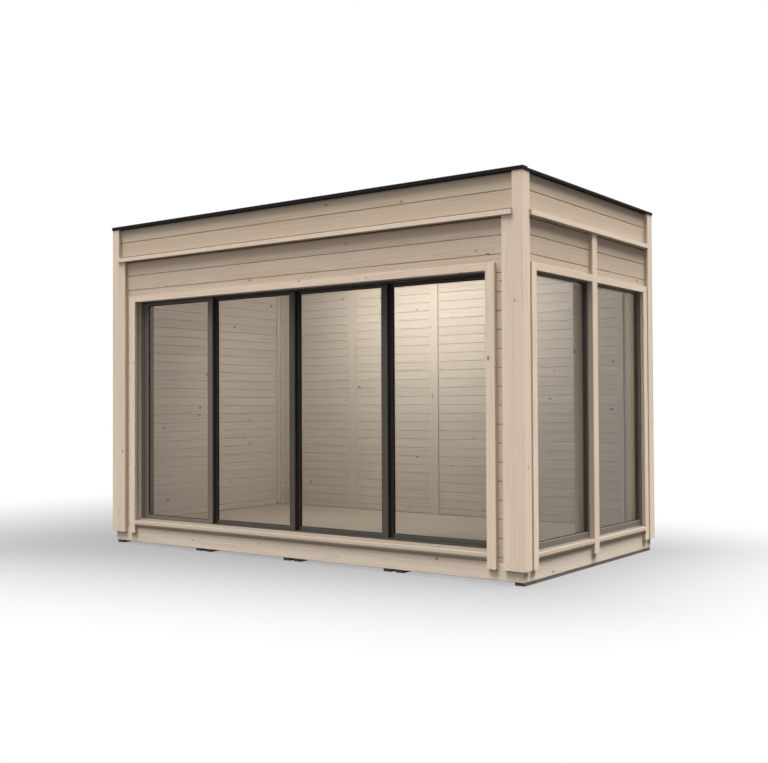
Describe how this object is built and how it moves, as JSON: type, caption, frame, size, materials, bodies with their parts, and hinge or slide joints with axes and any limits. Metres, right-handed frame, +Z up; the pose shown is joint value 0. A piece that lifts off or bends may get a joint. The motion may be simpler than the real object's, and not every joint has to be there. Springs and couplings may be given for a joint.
{
  "type": "modular garden room",
  "caption": "Flat-roofed timber garden room with horizontal boarding, a stepped sliding glass front, tall side windows and black edge capping, standing on skids.",
  "frame": {"origin": "middle of the footprint at ground level, under the skids", "axes": "+X to the right along the glass front, +Y from the glass front to the back wall, +Z up"},
  "size_m": [4.346, 2.336, 2.912],
  "materials": {
    "cladding_wood": "planed softwood boards, untreated and matt",
    "trim_wood": "planed softwood boards with eased edges, matt",
    "floor_wood": "planed softwood base boards and pale floor boards",
    "skid_timber": "black treated bearers",
    "dark_aluminium": "matt black powder coat",
    "clear_glass": "clear float glass with a slight grey tint",
    "roof_sheet": "black coated sheet"
  },
  "bodies": {
    "house": {"back_rail": "trim_wood", "back_wall": "cladding_wood", "bottom_track": "dark_aluminium", "corner_pier": "cladding_wood", "corner_post_back_left": "trim_wood", "corner_post_back_right": "trim_wood", "corner_post_front_left": "trim_wood", "corner_post_front_right": "trim_wood", "door_casing_head": "trim_wood", "door_casing_left": "trim_wood", "door_casing_right": "trim_wood", "door_header": "cladding_wood", "door_jamb_left": "dark_aluminium", "door_jamb_right": "dark_aluminium", "door_panel_1_frame": "dark_aluminium", "door_panel_1_glass": "clear_glass", "door_sill": "trim_wood", "floor_cassette": "floor_wood", "front_rail": "trim_wood", "head_track": "dark_aluminium", "left_rail": "trim_wood", "left_wall": "cladding_wood", "mullion_cover": "trim_wood", "mullion_post": "cladding_wood", "right_rail": "trim_wood", "roof_capping": "roof_sheet", "roof_cassette": "cladding_wood", "skid_1": "skid_timber", "skid_2": "skid_timber", "skid_3": "skid_timber", "skid_4": "skid_timber", "skid_5": "skid_timber", "skid_6": "skid_timber", "skid_7": "skid_timber", "skid_8": "skid_timber", "window_casing_far": "trim_wood", "window_casing_near": "trim_wood", "window_far_frame": "dark_aluminium", "window_far_glass": "clear_glass", "window_head_far": "trim_wood", "window_head_near": "trim_wood", "window_header": "cladding_wood", "window_near_frame": "dark_aluminium", "window_near_glass": "clear_glass", "window_sill_far": "trim_wood", "window_sill_near": "trim_wood"},
    "door_panel_2": {"door_panel_2_frame": "dark_aluminium", "door_panel_2_glass": "clear_glass"},
    "door_panel_3": {"door_panel_3_frame": "dark_aluminium", "door_panel_3_glass": "clear_glass"},
    "door_panel_4": {"door_panel_4_frame": "dark_aluminium", "door_panel_4_glass": "clear_glass"}
  },
  "joints": [
    {"name": "door_panel_2_slide", "type": "slide", "parent": "house", "child": "door_panel_2", "axis": [-1, 0, 0], "range_m": [0, 0.843]},
    {"name": "door_panel_3_slide", "type": "slide", "parent": "house", "child": "door_panel_3", "axis": [-1, 0, 0], "range_m": [0, 1.758]},
    {"name": "door_panel_4_slide", "type": "slide", "parent": "house", "child": "door_panel_4", "axis": [-1, 0, 0], "range_m": [0, 2.673]}
  ]
}
